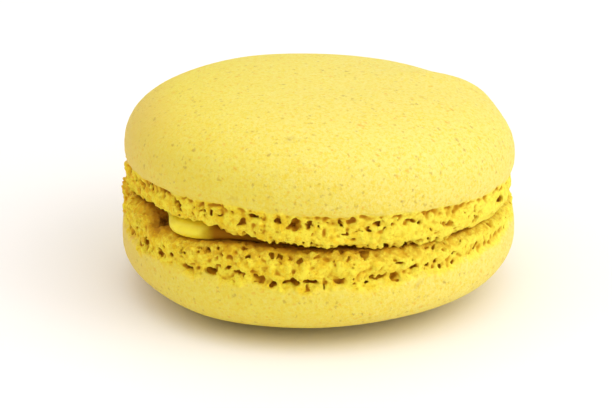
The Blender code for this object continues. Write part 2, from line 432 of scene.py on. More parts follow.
def smooth_curve(points, steps=6):
    """A Catmull-Rom curve through the points."""
    knots = np.array([points[0], *points, points[-1]], float)
    curve = []
    for a, b, c, d in zip(knots, knots[1:], knots[2:], knots[3:]):
        for t in np.arange(steps) / steps:
            bend = (2 * a - 5 * b + 4 * c - d) * t**2
            twist = (3 * b - a - 3 * c + d) * t**3
            curve.append(0.5 * (2 * b + (c - a) * t + bend + twist))
    curve.append(knots[-1])
    return curve


DOME_STEPS = 90
LIP_STEPS = 10
PAST_AXIS = -1.0  # the half section ends past the axis, so that no surface lies on it
# (distance inwards as a share of the hollow's corner, depth) points of the hollow's wall
HOLLOW_WALL = ((-1.0, 0.0), (0.0, 0.15), (0.4, 0.7), (1.6, HOLLOW_DEPTH))


def outline(shell):
    """(radius, height) corners of a shell's half section, from the crown round to the hollow."""
    corners = []
    for turn in np.linspace(math.pi / 2, 0.0, DOME_STEPS):
        radius = shell.radius * max(math.cos(turn), 0.0) ** (2.0 / shell.round_power)
        rise = (shell.crown - shell.widest) * math.sin(turn) ** (2.0 / shell.rise_power)
        corners.append((radius, shell.widest + rise))
    for share in np.linspace(1.0 / LIP_STEPS, 1.0, LIP_STEPS):
        corners.append((shell.radius - shell.lip_inset * share**2, shell.widest * (1.0 - share)))
    foot = [(shell.radius - inset, -share * shell.foot) for share, inset in shell.foot_outline]
    corners += [tuple(point) for point in smooth_curve(foot)]
    mouth = -shell.foot
    for share, depth in HOLLOW_WALL:
        corners.append((HOLLOW_RADIUS - share * HOLLOW_CORNER, mouth + depth))
    corners.append((PAST_AXIS, mouth + HOLLOW_DEPTH))
    corners.append((PAST_AXIS, shell.crown))
    return np.array(corners)


class Section:
    """The signed distance to a half section, negative inside, read off a table."""

    def __init__(self, corners, low, high):
        self.low = np.array(low)
        radii = np.arange(low[0], high[0], TABLE_STEP)
        heights = np.arange(low[1], high[1], TABLE_STEP)
        r, z = np.meshgrid(radii, heights, indexing="ij")
        nearest = np.full(r.shape, np.inf)
        inside = np.zeros(r.shape, bool)
        for (r0, z0), (r1, z1) in zip(corners, np.roll(corners, -1, axis=0)):
            dr, dz = r1 - r0, z1 - z0
            length = dr * dr + dz * dz
            if length == 0.0:
                continue
            share = np.clip(((r - r0) * dr + (z - z0) * dz) / length, 0.0, 1.0)
            nearest = np.minimum(nearest, (r - r0 - share * dr) ** 2 + (z - z0 - share * dz) ** 2)
            if dz != 0.0:
                crosses = ((z0 > z) != (z1 > z)) & (r < r0 + (z - z0) * dr / dz)
                inside ^= crosses
        self.table = (np.sqrt(nearest) * np.where(inside, -1.0, 1.0)).astype(np.float32)

    def read(self, radius, height):
        """The distances at these places, blended between the four table entries round each."""
        u = np.clip((radius - self.low[0]) / TABLE_STEP, 0, self.table.shape[0] - 1.001)
        v = np.clip((height - self.low[1]) / TABLE_STEP, 0, self.table.shape[1] - 1.001)
        i, j = u.astype(np.int32), v.astype(np.int32)
        u, v = u - i, v - j
        t = self.table
        low = t[i, j] * (1 - u) + t[i + 1, j] * u
        high = t[i, j + 1] * (1 - u) + t[i + 1, j + 1] * u
        return low * (1 - v) + high * v


def foot_depth(shell, x, y):
    """Depth of a shell's foot under its skin's edge at these places."""
    reach = np.hypot(x, y)
    turn = np.arctan2(y, x)
    azimuth = np.degrees(turn)
    wave = np.cos(2.0 * turn) * shell.foot_wave * (reach / shell.radius) ** 2
    inner, outer = NOTCH_RADII
    ramp = np.clip((reach - inner) / (outer - inner), 0.0, 1.0)
    notch = shell.notch * ramp * fade(angle_apart(azimuth, NOTCH_AZIMUTH), NOTCH_HALF_WIDTH)
    trim = sum(extra * fade(angle_apart(azimuth, at), width) for at, width, extra in shell.trims)
    return shell.foot + shell.foot_per_x * x + shell.foot_per_y * y + wave - notch + trim


# ---- crumb

# Noise is given as the size of its lumps, in every direction or in each, and its height
EDGE_WAVES = (1.3, 1.3, 3.0)
EDGE_TEETH = 0.5
TEETH_SHARE = 0.6  # height of the skin edge's teeth next to its waves
LUMPS = ((1.7, 0.085), (0.85, 0.06))
GRAIN = ((0.42, 0.085), (0.27, 0.085))
STRANDS = ((0.45, 0.45, 2.2), 0.05)
TEAR_SIZE = 0.75  # of the noise whose smallest values are the tears
TEAR_MEAN = 0.8  # the mean size of that noise
TEAR_HEIGHT = 0.09
CRUMB_STEP = 0.06  # how far crumb stands back from the skin
WARPS = ((0.8, 0.12), (0.34, 0.1))  # what makes the holes' rims uneven
FOOT_TOP = 1.4  # height up to which the foot's part of the grid reaches
CRUMB_RADII = (17.5, 20.0)  # between which crumb sets in outwards
MOUTH_INSETS = (1.0, 2.0)  # between which the foot's outer face turns into its flat end
DEPTH_INSET = 0.8  # where the foot's depth is read for a hole in its outer face
RAY_START = 0.6  # how far outside the widest place a ray starts
RAY_LENGTH = 3.6
RAY_STEP = 0.7  # of the grid's step
HOLE_REACH = (1.3, 0.3)  # a cut touches so many times its largest size, and this much more
BITES = 4  # smaller cuts round a large hole
BITE_SPREAD = 0.85
BITE_SIZES = (0.3, 0.6)
BITE_DEPTH = 0.6
PORE_LEAN = 30.0
PORE_FLATNESS = (0.6, 1.0)
CLOSE_REACH = 0.45  # how far round a place counts for how closed in it is


def roughness_at(azimuth):
    """How rough the crumb is at an azimuth in degrees, next to its usual roughness."""
    return 1.0 - CALM_SHARE * fade(angle_apart(azimuth, CALM_AZIMUTH), CALM_REACH)


class Foot:
    """The lower part of a shell's grid, where crumb is shaped and holes are cut out of it."""

    def __init__(self, shell, grid, distance, rng):
        self.shell = shell
        self.rng = rng
        self.grid = grid.below(FOOT_TOP)
        self.distance = distance[..., : self.grid.count[2]]
        self.uncut = self.distance.copy()
        x, y, z = self.grid.open_axes()
        radius = np.hypot(x, y)
        self.inset = shell.radius - radius
        waves = self.noise(EDGE_WAVES, shell.edge_waver)
        teeth = self.noise(EDGE_TEETH, shell.edge_waver * TEETH_SHARE)
        outer = smoothstep(*CRUMB_RADII, radius)
        self.crumb = smoothstep(shell.edge_blend, -shell.edge_blend, z + (waves + teeth)) * outer

    def noise(self, cell, height):
        return noise(self.rng, self.grid.axes, cell) * np.float32(height)

    def noises(self, rows):
        return sum(self.noise(cell, height) for cell, height in rows)

    def roughen(self):
        """Gives the crumb lumps, tears and upright strands, and readies the holes' warp."""
        lumps = self.noises(LUMPS)
        torn = np.abs(self.noise(TEAR_SIZE, 1.0))
        grain = self.noises(GRAIN)
        strands = self.noise(*STRANDS)
        tears = (TEAR_MEAN - torn) * TEAR_HEIGHT
        calm = 1.0 - (1.0 - self.shell.mouth_rough) * smoothstep(*MOUTH_INSETS, self.inset)
        x, y, _ = self.grid.open_axes()
        calm = calm * roughness_at(np.degrees(np.arctan2(y, x)))
        self.distance += self.crumb * calm * (lumps + grain + strands + tears + CRUMB_STEP)
        self.warp = [self.noises(WARPS) for _ in range(3)]

    def surface(self, angle, share):
        """Where a level ray from outside meets the foot: angle in radians, share of its depth."""
        cos, sin = math.cos(angle), math.sin(angle)
        edge = self.shell.radius - DEPTH_INSET
        height = -share * float(foot_depth(self.shell, edge * cos, edge * sin))
        radii = self.shell.radius + RAY_START - np.arange(0.0, RAY_LENGTH, VOXEL * RAY_STEP)
        points = np.stack([radii * cos, radii * sin, np.full(len(radii), height)], 1)
        inside = self.grid.sample(self.distance, points) < 0.0
        if not inside.any():
            return None
        radius = radii[inside.argmax()]
        return np.array([radius * cos, radius * sin, height])

    def cut(self, centre, sizes, angle, lean=0.0):
        """Cuts a rough ellipsoid: sizes are its half width, its depth and its half height."""
        width, depth, height = sizes
        depth *= float(roughness_at(math.degrees(angle)))
        largest = max(width, depth, height)
        times, more = HOLE_REACH
        part = self.grid.block(centre, largest * times + more)
        if any(side.start >= side.stop for side in part):
            return
        x, y, z = self.grid.open_axes(part)
        dx = x - centre[0] + self.warp[0][part]
        dy = y - centre[1] + self.warp[1][part]
        dz = z - centre[2] + self.warp[2][part]
        cos, sin = math.cos(angle), math.sin(angle)
        aside = -dx * sin + dy * cos
        inward = (dx * cos + dy * sin) / depth
        turn = math.radians(lean)
        along = (aside * math.cos(turn) + dz * math.sin(turn)) / width
        up = (dz * math.cos(turn) - aside * math.sin(turn)) / height
        hole = (1.0 - np.sqrt(along**2 + inward**2 + up**2)) * min(width, depth, height)
        self.distance[part] = np.maximum(self.distance[part], hole)

    def cut_holes(self):
        """Cuts the large holes, each with smaller bites round it."""
        for azimuth, share, width, height, depth, lean in self.shell.holes:
            angle = math.radians(azimuth)
            place = self.surface(angle, share)
            if place is None:
                continue
            self.cut(place, (width, depth, height), angle, lean)
            for _ in range(BITES):
                aside, up = self.rng.uniform(-BITE_SPREAD, BITE_SPREAD, 2)
                shift = (-math.sin(angle) * aside * width, math.cos(angle) * aside * width, up * height)
                size = self.rng.uniform(*BITE_SIZES) * math.sqrt(width * height)
                self.cut(place + shift, (size, depth * BITE_DEPTH, size), angle)

    def scatter(self, count, azimuths, shares, widths, heights, depth):
        """Cuts random holes into the foot's outer face."""
        rng = self.rng
        for _ in range(count):
            angle = math.radians(rng.uniform(*azimuths))
            place = self.surface(angle, rng.uniform(*shares))
            size = rng.random() ** 2
            width = widths[0] + (widths[1] - widths[0]) * size
            height = heights[0] + (heights[1] - heights[0]) * size * rng.uniform(*PORE_FLATNESS)
            sizes = (width, depth * 0.5 * (width + height), height)
            if place is not None:
                self.cut(place, sizes, angle, rng.uniform(-PORE_LEAN, PORE_LEAN))

    def scatter_mouth(self):
        """Cuts random pores into the foot's flat end."""
        for _ in range(MOUTH_PORES):
            angle = self.rng.uniform(-math.pi, math.pi)
            radius = self.shell.radius - self.rng.uniform(*MOUTH_PORE_INSETS)
            x, y = radius * math.cos(angle), radius * math.sin(angle)
            size = self.rng.uniform(*MOUTH_PORE_SIZES)
            end = -float(foot_depth(self.shell, x, y))
            self.cut((x, y, end), [size * share for share in MOUTH_PORE_SHAPE], angle)

    def closeness(self):
        """How closed in each place is, from 0 on a ridge to 1 deep in a hole."""
        solid = np.clip(0.5 - self.distance / (2.0 * VOXEL), 0.0, 1.0)
        reach = max(int(round(CLOSE_REACH / VOXEL)), 1)
        return box_blur(box_blur(solid, reach), reach)


# ---- a shell's grid

WAVER = ((4.2, 4.2, 2.0), 0.14)  # unevenness of the foot, as lump sizes and height
SWELL = (9.0, 0.035)  # and of the dome
FOOT_HEIGHTS = (0.3, -0.5)  # between which the foot's unevenness sets in downwards
FOOT_RADII = (17.0, 20.0)  # and outwards
TABLE_ROOM = (0.5, 2.0, 1.5)  # room past the axis, below and above the half section's table
DIAGONAL = 1.42  # how much further out the grid's corners are than its sides


def shell_field(shell):
    """A shell's grid, the distances on it, and its foot."""
    rng = np.random.default_rng(shell.seed)
    reach = shell.radius + MARGIN
    deepest = shell.foot + (abs(shell.foot_per_x) + abs(shell.foot_per_y)) * reach + FOOT_ROOM
    grid = Grid((-reach, -reach, -deepest - FOOT_ROOM), (reach, reach, shell.crown + MARGIN))
    distance = plain_distance(shell, grid, rng)
    for row in shell.dents:
        dent(grid, distance, *row)
    foot = Foot(shell, grid, distance, rng)
    foot.roughen()
    foot.cut_holes()
    for row in shell.pores:
        foot.scatter(*row)
    foot.scatter_mouth()
    return grid, distance, foot


def plain_distance(shell, grid, rng):
    """The distance to a shell with a smooth foot, one slice of the grid after another."""
    inside, below, above = TABLE_ROOM
    low = (-inside, -shell.foot - below)
    high = ((shell.radius + MARGIN) * DIAGONAL, shell.crown + above)
    section = Section(outline(shell), low, high)
    x, y, z = grid.open_axes()
    distance = np.empty(grid.count, np.float32)
    depth = foot_depth(shell, x, y).astype(np.float32)
    waver = noise(rng, grid.axes, WAVER[0]) * WAVER[1]
    swell = noise(rng, grid.axes, SWELL[0]) * SWELL[1]
    for i in range(grid.count[0]):
        radius = np.hypot(x[i : i + 1], y)
        height = np.where(z < 0.0, z * shell.foot / depth[i : i + 1], z)
        in_foot = smoothstep(*FOOT_HEIGHTS, z) * smoothstep(*FOOT_RADII, radius)
        radius = radius - waver[i : i + 1] * in_foot - swell[i : i + 1] * (1.0 - in_foot)
        distance[i : i + 1] = section.read(radius, height)
    return distance


def dent(grid, distance, azimuth, height, width, push):
    """Pushes the dome out, or in, round one place."""
    x, y, z = grid.open_axes()
    away = np.radians(angle_apart(np.degrees(np.arctan2(y, x)), azimuth)) * np.hypot(x, y)
    distance -= np.float32(push) * fade(away, width) * fade(z - height, width)


# ---- meshes


def largest_body(points, triangles, quads):
    """Keeps only the faces of the largest connected surface, and the points they use."""
    pairs = [triangles[:, :2], triangles[:, 1:], quads[:, :2], quads[:, 1:3], quads[:, 2:]]
    a, b = np.concatenate(pairs).astype(np.int64).T
    label = np.arange(len(points))
    while True:
        low = np.minimum(label[a], label[b])
        before = label.copy()
        np.minimum.at(label, a, low)
        np.minimum.at(label, b, low)
        label = label[label]
        label = label[label]
        if (label == before).all():
            break
    main = np.bincount(label).argmax()
    keep = label == main
    new_index = np.cumsum(keep) - 1
    triangles = new_index[triangles[keep[triangles[:, 0]]]]
    quads = new_index[quads[keep[quads[:, 0]]]]
    return points[keep], triangles, quads


def mesh_of(name, points, triangles, quads, layers):
    """A smooth-shaded mesh of triangles and four-cornered faces, with layers of numbers."""
    mesh = bpy.data.meshes.new(name)
    mesh.vertices.add(len(points))
    mesh.vertices.foreach_set("co", points.astype(np.float32).ravel())
    corners = np.concatenate([triangles.ravel(), quads.ravel()]).astype(np.int32)
    mesh.loops.add(len(corners))
    mesh.loops.foreach_set("vertex_index", corners)
    mesh.polygons.add(len(triangles) + len(quads))
    first_quad = len(triangles) * 3
    starts = np.concatenate([np.arange(len(triangles)) * 3, first_quad + np.arange(len(quads)) * 4])
    mesh.polygons.foreach_set("loop_start", starts.astype(np.int32))
    mesh.update(calc_edges=True)
    mesh.validate()
    mesh.shade_smooth()
    for layer, values in layers.items():
        made = mesh.attributes.new(layer, "FLOAT", "POINT")
        made.data.foreach_set("value", values.astype(np.float32))
    return mesh


def turn_matrix(turn):
    about_x, about_y = (math.radians(angle) for angle in turn)
    return Matrix.Rotation(about_y, 4, "Y") @ Matrix.Rotation(about_x, 4, "X")


BOTTOM_PLACE = Matrix.Translation((0.0, 0.0, BOTTOM.crown - REST_CUT)) @ turn_matrix(BOTTOM_TURN)
TOP_HEIGHT = BOTTOM.crown - REST_CUT + SEAM_GAP
TOP_PLACE = Matrix.Translation((TOP_SHIFT, 0.0, TOP_HEIGHT)) @ turn_matrix(TOP_TURN)


def placed(points, place):
    turn = np.array(place.to_3x3())
    return points @ turn.T + np.array(place.translation)


# ---- the shells

HOLE_DEPTHS = (0.12, 0.35)  # under the smooth foot, between which a place turns into crumb
CRUMB_LIMIT = 1.2  # height above which there is no crumb
BAND_SHARES = (0.5, 0.85)  # shares of the foot's depth between which its band of painted shade sets in
# Painted sheen: the shells are paler and less yellow towards the lit right and high up, where the key
# light falls
SHEEN_LEVEL = 14.0  # height above the table at which the painted sheen is least
SHEEN_UPWARDS = 2.0  # how fast the painted sheen grows going up, next to going right
SHEEN_DOWNWARDS = 0.3  # and going down
SHEEN_REACH = (-6.0, 30.0)  # how far to the right the painted sheen starts and is full
SHEEN_MOST = 0.85
SMEAR_BLUR = 0.15
SMEAR_BLUR_TURN = 1.0  # in degrees


def meshed(grid, distance):
    """The points, triangles and four-cornered faces of the surface on a grid."""
    volume = openvdb.FloatGrid(background=BAND)
    volume.copyFromArray(np.clip(distance, -BAND, BAND))
    points, triangles, quads = volume.convertToPolygons(isovalue=0.0, adaptivity=ADAPTIVITY)
    points, triangles, quads = largest_body(points, triangles, quads)
    return points * VOXEL + grid.low, triangles, quads


def crumb_at(foot, points):
    """0 on skin and 1 on crumb, which the inside of a hole always is."""
    sunk = -foot.grid.sample(foot.uncut, points)
    crumb = np.maximum(foot.grid.sample(foot.crumb, points), smoothstep(*HOLE_DEPTHS, sunk))
    crumb[points[:, 2] > CRUMB_LIMIT] = 0.0
    return crumb


def shade_at(shell, points):
    """How much painted shade crumb has: 1 on the foot's flat end, and up to 2 in its pit."""
    inset = shell.radius - np.hypot(points[:, 0], points[:, 1])
    share = -points[:, 2] / foot_depth(shell, points[:, 0], points[:, 1])
    band = shell.mouth_band * smoothstep(*BAND_SHARES, share)
    shade = np.maximum(smoothstep(*shell.mouth_shade, inset), band)
    if shell.pit:
        azimuth, depth, reach = shell.pit
        x = (shell.radius - depth) * math.cos(math.radians(azimuth))
        y = (shell.radius - depth) * math.sin(math.radians(azimuth))
        middle = (x, y, -float(foot_depth(shell, x, y)))
        shade = shade + fade(np.linalg.norm(points - middle, axis=1), reach)
    return shade


def painted_sheen_at(points):
    """How much painted sheen a placed point has, paler where the key light falls: most on the right, high
    up.
    """
    above = points[:, 2] - SHEEN_LEVEL
    sheen_measure = points[:, 0] + np.where(above > 0.0, SHEEN_UPWARDS * above, -SHEEN_DOWNWARDS * above)
    return smoothstep(*SHEEN_REACH, sheen_measure) * SHEEN_MOST


def smear_at(smear, points, azimuth):
    """1 on a foot's touch of cream, 0 beside it."""
    middle, reach, low, high = smear
    over = smoothstep(low - SMEAR_BLUR, low + SMEAR_BLUR, points[:, 2])
    under = smoothstep(high + SMEAR_BLUR, high - SMEAR_BLUR, points[:, 2])
    apart = angle_apart(azimuth, middle)
    return over * under * smoothstep(reach + SMEAR_BLUR_TURN, reach - SMEAR_BLUR_TURN, apart)


def make_shell(name, shell, place, upside_down):
    """A shell's mesh where it lies, with the layers that its material reads."""
    grid, distance, foot = shell_field(shell)
    points, triangles, quads = meshed(grid, distance)
    crumb = crumb_at(foot, points)
    # how closed in the crumb is, which its material paints as shade in holes
    closed_in = foot.grid.sample(foot.closeness(), points) * crumb
    # painted shade in the gap between the feet and in the pit
    shade = shade_at(shell, points) * crumb
    azimuth = np.degrees(np.arctan2(points[:, 1], points[:, 0]))
    inset = shell.radius - np.hypot(points[:, 0], points[:, 1])
    # painted shade in tan on the left rim, the side away from the key light
    left = fade(angle_apart(azimuth, SHADED_SIDE_AZIMUTH), SHADED_SIDE_REACH) * smoothstep(*SHADED_SIDE_INSETS, inset)
    if upside_down:
        points = points * (1.0, 1.0, -1.0)
    else:
        triangles, quads = triangles[:, ::-1], quads[:, ::-1]
    points = placed(points, place)
    points[:, 2] = np.maximum(points[:, 2], 0.0)
    layers = {"crumb": crumb, "closed_in": closed_in, "shade": shade, "left": left}
    # painted sheen, paler towards the lit right and high up
    layers["painted_sheen"] = painted_sheen_at(points)
    if shell.smear:
        layers["smear"] = smear_at(shell.smear, points, azimuth)
    return mesh_of(name, points, triangles, quads, layers)


# ---- the cream

CREAM_AROUND = 420  # points in a row round the cream
CREAM_WALL = HOLLOW_RADIUS - HOLLOW_CORNER
CREAM_FLAT = (0.0, 0.3, 0.6, 0.85, 0.97)  # rows on its flat top, as shares of its wall's radius
CREAM_CORNER = ((0.15, 0.86), (0.3, 0.7))  # (radius past the wall, height) of rows in its corner
CREAM_SIDE = 0.32  # how far past the wall its side starts
SIDE_ROWS = 15
SIDE_HEIGHT = 0.5
SIDE_POWER = 2.2  # fullness of the side's round
OVERLAP = 0.05  # how far the cream sinks into the hollows' ends
LIP_INTO_TOP = 0.1  # how far its lip sinks into the upper foot
LIP_INTO_BOTTOM = 0.3  # and into the lower one
CREAM_SEED = 7
WAVES = range(2, 14)  # how many times each of the lip's waves goes up and down in a turn
WAVE_HEIGHT = 0.05
WAVE_START = 6.3  # about a turn, in radians


def cream_rows():
    """(radius, height) of the cream's rows, with height 1 on its top and -1 on its bottom."""
    top = [(CREAM_WALL * share, 1.0) for share in CREAM_FLAT]
    top += [(CREAM_WALL + past, height) for past, height in CREAM_CORNER]
    turns = np.linspace(0.0, math.pi, SIDE_ROWS)
    side = [(CREAM_WALL + CREAM_SIDE, SIDE_HEIGHT * math.cos(turn)) for turn in turns]
    bottom = [(radius, -height) for radius, height in reversed(top)]
    return top + side + bottom


def lip_reach(angles):
    """How far the cream's lip comes out of the hollows at these angles, in radians."""
    rng = np.random.default_rng(CREAM_SEED)
    waver = np.zeros(len(angles))
    for cycles in WAVES:
        waver += rng.normal() / cycles * np.cos(cycles * angles + rng.uniform(0, WAVE_START))
    apart = (np.degrees(angles) - BULGE_AZIMUTH + 180.0) % 360.0 - 180.0
    lump = np.where(apart < 0.0, fade(apart, BULGE_LEFT), fade(apart, BULGE_RIGHT))
    return CREAM_REACH + LUMP_PUSH * lump + WAVE_HEIGHT * waver


def hollow_row(angles, radius, height):
    """Points of a row that lies in the hollows, on the way from one's end to the other's."""
    x, y = radius * np.cos(angles), radius * np.sin(angles)
    top_end = -foot_depth(TOP, x, y) + HOLLOW_DEPTH + OVERLAP
    bottom_end = foot_depth(BOTTOM, x, y) - HOLLOW_DEPTH - OVERLAP
    upper = placed(np.stack([x, y, top_end], 1), TOP_PLACE)
    lower = placed(np.stack([x, y, bottom_end], 1), BOTTOM_PLACE)
    share = 0.5 + 0.5 * height
    return lower * (1 - share) + upper * share


def lip_row(angles, radius, height, reach):
    """Points of a row of the rounded lip between the two feet."""
    outermost = radius + reach
    full = np.clip(1.0 - (abs(height) / SIDE_HEIGHT) ** SIDE_POWER, 0.0, 1.0)
    out = radius + reach * np.sqrt(full)
    x, y = outermost * np.cos(angles), outermost * np.sin(angles)
    top_end = -foot_depth(TOP, x, y) + LIP_INTO_TOP
    bottom_end = foot_depth(BOTTOM, x, y) - LIP_INTO_BOTTOM
    ceiling = placed(np.stack([x, y, top_end], 1), TOP_PLACE)[:, 2]
    floor = placed(np.stack([x, y, bottom_end], 1), BOTTOM_PLACE)[:, 2]
    z = (ceiling + floor) / 2.0 + height * (ceiling - floor)
    return np.stack([out * np.cos(angles), out * np.sin(angles), z], 1)


def make_filling():
    """The cream: a layer between the shells, with a lip that swells out between the feet."""
    angles = np.arange(CREAM_AROUND) * 2.0 * math.pi / CREAM_AROUND
    reach = lip_reach(angles)
    rows = []
    for radius, height in cream_rows():
        if abs(height) > SIDE_HEIGHT:
            rows.append(hollow_row(angles, radius, height))
        else:
            rows.append(lip_row(angles, radius, height, reach))
    points = np.concatenate(rows)
    i, j = np.meshgrid(np.arange(len(rows) - 1), np.arange(CREAM_AROUND), indexing="ij")
    here, right = i * CREAM_AROUND + j, i * CREAM_AROUND + (j + 1) % CREAM_AROUND
    quads = np.stack([here, here + CREAM_AROUND, right + CREAM_AROUND, right], -1).reshape(-1, 4)
    azimuth = np.degrees(np.arctan2(points[:, 1], points[:, 0]))
    # painted shade on the cream everywhere but on its lump, for the dark gap between the feet
    lump = smoothstep(*LUMP_LEFT, azimuth) * smoothstep(*LUMP_RIGHT, azimuth)
    return mesh_of("filling", points, np.zeros((0, 3), int), quads, {"cream_shade": 1.0 - lump})


# ---- materials


class Nodes:
    """Short calls that build a node tree."""

    def __init__(self, tree):
        self.tree = tree

    def node(self, kind, inputs=None, **settings):
        made = self.tree.nodes.new(kind)
        for key, value in settings.items():
            setattr(made, key, value)
        self.fill(made, inputs or {})
        return made

    def fill(self, node, inputs):
        """Sets a node's inputs to numbers or colours, or links them to other nodes' outputs."""
        for key, value in inputs.items():
            if isinstance(value, bpy.types.NodeSocket):
                self.tree.links.new(value, node.inputs[key])
            else:
                node.inputs[key].default_value = value

    def math(self, operation, a, b):
        return self.node("ShaderNodeMath", {0: a, 1: b}, operation=operation).outputs[0]

    def times(self, a, b):
        return self.math("MULTIPLY", a, b)

    def vector(self, operation, a, b):
        return self.node("ShaderNodeVectorMath", {0: a, 1: b}, operation=operation).outputs[0]

    def ramp(self, value, low, high, out_low=0.0, out_high=1.0):
        inputs = {"Value": value, "From Min": low, "From Max": high, "To Min": out_low, "To Max": out_high}
        return self.node("ShaderNodeMapRange", inputs, interpolation_type="SMOOTHSTEP").outputs["Result"]

    def mix(self, share, a, b):
        inputs = {"Factor": share, "A": a, "B": b}
        return self.node("ShaderNodeMix", inputs, data_type="RGBA").outputs["Result"]

    def noise(self, place, per_metre, detail, roughness):
        inputs = {"Vector": place, "Scale": per_metre, "Detail": detail, "Roughness": roughness}
        return self.node("ShaderNodeTexNoise", inputs).outputs["Fac"]

    def patches(self, place, per_metre, detail, roughness, low, high):
        return self.ramp(self.noise(place, per_metre, detail, roughness), low, high)

    def attribute(self, name):
        return self.node("ShaderNodeAttribute", attribute_name=name).outputs["Fac"]


SKIN_PALE = (0.86, 0.72, 0.08, 1.0)
SKIN_DEEP = (0.84, 0.63, 0.025, 1.0)
SKIN_SHEEN = (0.86, 0.725, 0.175, 1.0)
# paler colour of painted sheen on the skin
SKIN_DUSTY = (0.87, 0.74, 0.2, 1.0)
# painted shade in tan at the left rim
SKIN_SHADE_TAN = (0.8, 0.53, 0.1, 1.0)
CRUMB_PALE = (0.97, 0.8, 0.06, 1.0)
CRUMB_DEEP = (0.91, 0.63, 0.022, 1.0)
# paler colour of painted sheen on the crumb
CRUMB_SHEEN = (0.98, 0.86, 0.11, 1.0)
# painted shade in orange streaks on the left side's crumb
CRUMB_SHADE_ORANGE = (0.86, 0.43, 0.015, 1.0)
CREAM_PALE = (0.95, 0.8, 0.035, 1.0)
CREAM_DEEP = (0.84, 0.66, 0.018, 1.0)
# painted shade on the cream in the gap between the feet
CREAM_DARK = (0.36, 0.15, 0.006, 1.0)
# brown of the crumb's flecks, and of painted shade in its hollows and towards the flat end
FLECK_AND_SHADE_BROWN = (0.66, 0.33, 0.008, 1.0)
# painted shade deep in holes
HOLE_SHADE_BROWN = (0.4, 0.155, 0.006, 1.0)
# painted shade in the gap between the feet and in the pit
MOUTH_SHADE_BROWN = (0.52, 0.24, 0.01, 1.0)
PIT_SHADE_BROWN = (0.15, 0.05, 0.002, 1.0)
SPECK_OLIVE = (0.5, 0.28, 0.022, 1.0)
SPECK_ORANGE = (0.8, 0.43, 0.01, 1.0)

# Patches: lumps per metre, detail and roughness of a noise, and the values they lie between
MOTTLE = (420.0, 6.0, 0.72, 0.4, 0.66)
SKIN_GRAIN = (2600.0, 4.0, 0.75, 0.44, 0.62)
DUST = (2100.0, 4.0, 0.75, 0.5, 0.66)
CRUMB_PATCHES = (900.0, 5.0, 0.75, 0.42, 0.62)
FLECKS = (3200.0, 3.0, 0.7, 0.52, 0.66)
STREAKS = (700.0, 4.0, 0.7, 0.5, 0.62)
CREAM_CLOUDS = (500.0, 3.0, 0.55, 0.3, 0.7)

# How strongly each colour covers what lies under it
MOTTLE_STRENGTH = 0.5
GRAIN_STRENGTH = 0.85
DUST_STRENGTHS = (0.35, 1.0)  # where the painted sheen is least and most
DUSTY_FROM = 0.8  # the painted sheen that counts as most
# the painted shade at the left rim
SHADE_TAN_STRENGTH = 0.6
# the painted sheen on the crumb
CRUMB_SHEEN_STRENGTH = 0.8
FLECK_STRENGTH = 0.4

SPECKS = (
    # cells per metre, radius as a share of a cell, share of the cells with one, strength
    (1700.0, 0.44, 0.7, 0.5),
    (1050.0, 0.36, 0.6, 0.62),
    (640.0, 0.25, 0.45, 0.74),
    (300.0, 0.26, 0.55, 0.26),
)
SPECK_SMALLEST = 0.45  # size of the smallest specks next to the largest
SPECK_BLUR = 0.8  # how much of a speck's radius its edge takes up
SPECK_WARP = (2.2, 0.9)  # lumps to a cell of the warp that makes specks ragged, and its size
MIDDLE_GREY = (0.5, 0.5, 0.5)

# How closed in or how shaded crumb is where each brown of painted shade sets in and where it is full
HOLLOW_SHADE_CLOSENESS = (0.48, 0.64)
HOLE_CLOSENESS = (0.56, 0.74)
GAP_SHADE = (0.1, 0.6)
MOUTH_SHADE = (0.5, 0.95)
PIT_SHADE = (1.15, 1.65)
GAP_SHADE_STRENGTH = 0.85


def specks(nodes, place, per_metre, radius, share):
    """How much of a speck there is in a place, and a random number that all of the speck has."""
    lumps, size = SPECK_WARP
    warp = nodes.node("ShaderNodeTexNoise", {"Vector": place, "Scale": per_metre * lumps})
    offset = nodes.vector("SUBTRACT", warp.outputs["Color"], MIDDLE_GREY)
    offset = nodes.vector("MULTIPLY", offset, (size / per_metre,) * 3)
    moved = nodes.vector("ADD", place, offset)
    cells = nodes.node("ShaderNodeTexVoronoi", {"Vector": moved, "Scale": per_metre})
    random = nodes.node("ShaderNodeSeparateColor", {"Color": cells.outputs["Color"]}).outputs
    own_radius = nodes.times(nodes.ramp(random[1], 0.0, 1.0, SPECK_SMALLEST, 1.0), radius)
    inner = nodes.math("SUBTRACT", own_radius, cells.outputs["Distance"])
    spot = nodes.ramp(inner, 0.0, radius * SPECK_BLUR)
    shown = nodes.math("LESS_THAN", random[0], share)
    return nodes.times(spot, shown), random[2]


def skin_colour(nodes, place, painted_sheen, left):
    """Pale lemon skin, mottled, paler with painted sheen and dust towards the lit right and top, with
    painted shade in tan at the left rim, and specked.
    """
    mottle = nodes.times(nodes.patches(place, *MOTTLE), MOTTLE_STRENGTH)
    grain = nodes.times(nodes.patches(place, *SKIN_GRAIN), GRAIN_STRENGTH)
    dust = nodes.times(nodes.patches(place, *DUST), nodes.ramp(painted_sheen, 0.0, DUSTY_FROM, *DUST_STRENGTHS))
    skin = nodes.mix(mottle, SKIN_PALE, SKIN_DEEP)
    # painted sheen on the skin
    skin = nodes.mix(painted_sheen, skin, SKIN_SHEEN)
    skin = nodes.mix(grain, skin, SKIN_DEEP)
    skin = nodes.mix(dust, skin, SKIN_DUSTY)
    # painted shade in tan at the left rim
    skin = nodes.mix(nodes.times(left, SHADE_TAN_STRENGTH), skin, SKIN_SHADE_TAN)
    for per_metre, radius, share, strength in SPECKS:
        spot, tint = specks(nodes, place, per_metre, radius, share)
        colour = nodes.mix(nodes.math("GREATER_THAN", tint, 0.5), SPECK_OLIVE, SPECK_ORANGE)
        skin = nodes.mix(nodes.times(spot, strength), skin, colour)
    return skin


